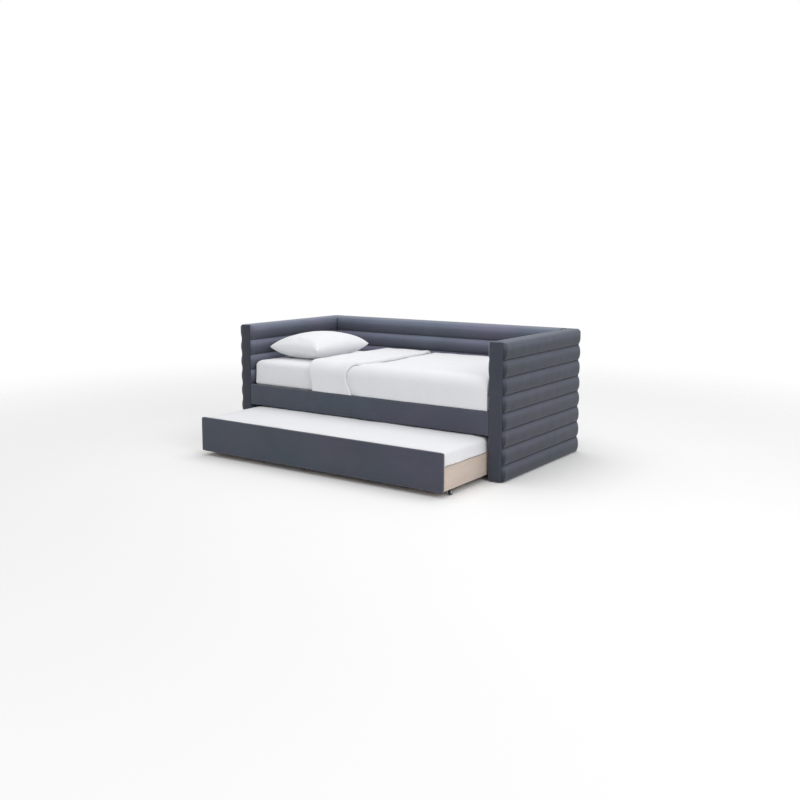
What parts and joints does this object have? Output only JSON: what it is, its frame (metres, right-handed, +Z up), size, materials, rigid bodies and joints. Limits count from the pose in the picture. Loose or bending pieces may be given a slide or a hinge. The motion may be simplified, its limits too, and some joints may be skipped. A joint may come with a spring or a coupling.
{
  "type": "trundle daybed",
  "caption": "Channel-padded daybed with a back and two tall arms, a made-up mattress, and a low trundle bed that rolls out from under it on small wheels.",
  "frame": {"origin": "on the floor, at the middle of the outline's length and depth, with the trundle pulled out half way", "axes": "+X along the length towards the foot of the made-up bed, +Y from front to back, +Z up"},
  "size_m": [2.2098, 1.605, 0.8636],
  "materials": {
    "upholstery": "smooth slate blue-grey velvet",
    "timber": "pale birch, satin",
    "mattress_fabric": "white knitted ticking",
    "bed_linen": "white cotton",
    "steel": "zinc plated",
    "tyre_rubber": "matt black",
    "glide_plastic": "black"
  },
  "bodies": {
    "daybed": {"arm_left_core": "timber", "arm_left_top_cover": "upholstery", "arm_left_lining": "upholstery", "arm_left_outer_channels": "upholstery", "arm_left_inner_channels": "upholstery", "arm_left_front_border": "upholstery", "arm_left_rear_border": "upholstery", "arm_right_core": "timber", "arm_right_top_cover": "upholstery", "arm_right_lining": "upholstery", "arm_right_outer_channels": "upholstery", "arm_right_inner_channels": "upholstery", "arm_right_front_border": "upholstery", "arm_right_rear_border": "upholstery", "back_core": "timber", "back_top_cover": "upholstery", "back_rear_cover": "upholstery", "back_lining": "upholstery", "back_channels": "upholstery", "front_rail_core": "timber", "front_rail_cover": "upholstery", "deck_ledger_front": "timber", "deck_ledger_rear": "timber", "deck_beam": "timber", "deck_slats": "timber", "corner_angles": "steel", "corner_bolts": "steel", "floor_glides": "glide_plastic", "mattress": "mattress_fabric", "pillow": "bed_linen", "duvet": "bed_linen", "duvet_fold": "bed_linen"},
    "trundle": {"trundle_front_core": "timber", "trundle_front_cover": "upholstery", "trundle_inner_board": "timber", "trundle_side_left": "timber", "trundle_side_right": "timber", "trundle_rear_board": "timber", "trundle_ledger_front": "timber", "trundle_ledger_rear": "timber", "trundle_beam": "timber", "trundle_slats": "timber", "trundle_corner_blocks": "timber", "trundle_mattress": "mattress_fabric", "wheel_plates": "steel", "wheel_axles": "steel", "wheel_screws": "steel"},
    "wheel_front_left": {"tyre_front_left": "tyre_rubber", "hub_front_left": "steel"},
    "wheel_front_right": {"tyre_front_right": "tyre_rubber", "hub_front_right": "steel"},
    "wheel_rear_left": {"tyre_rear_left": "tyre_rubber", "hub_rear_left": "steel"},
    "wheel_rear_right": {"tyre_rear_right": "tyre_rubber", "hub_rear_right": "steel"}
  },
  "joints": [
    {"name": "trundle_roll_out", "type": "slide", "parent": "daybed", "child": "trundle", "axis": [0, -1, 0], "range_m": [-0.5, 0.46]},
    {"name": "wheel_front_left_spin", "type": "hinge", "parent": "trundle", "child": "wheel_front_left", "pos_m": [-0.97, -0.69245, 0.0175], "axis": [1, 0, 0], "continuous": true},
    {"name": "wheel_front_right_spin", "type": "hinge", "parent": "trundle", "child": "wheel_front_right", "pos_m": [0.97, -0.69245, 0.0175], "axis": [1, 0, 0], "continuous": true},
    {"name": "wheel_rear_left_spin", "type": "hinge", "parent": "trundle", "child": "wheel_rear_left", "pos_m": [-0.97, 0.06255, 0.0175], "axis": [1, 0, 0], "continuous": true},
    {"name": "wheel_rear_right_spin", "type": "hinge", "parent": "trundle", "child": "wheel_rear_right", "pos_m": [0.97, 0.06255, 0.0175], "axis": [1, 0, 0], "continuous": true}
  ]
}
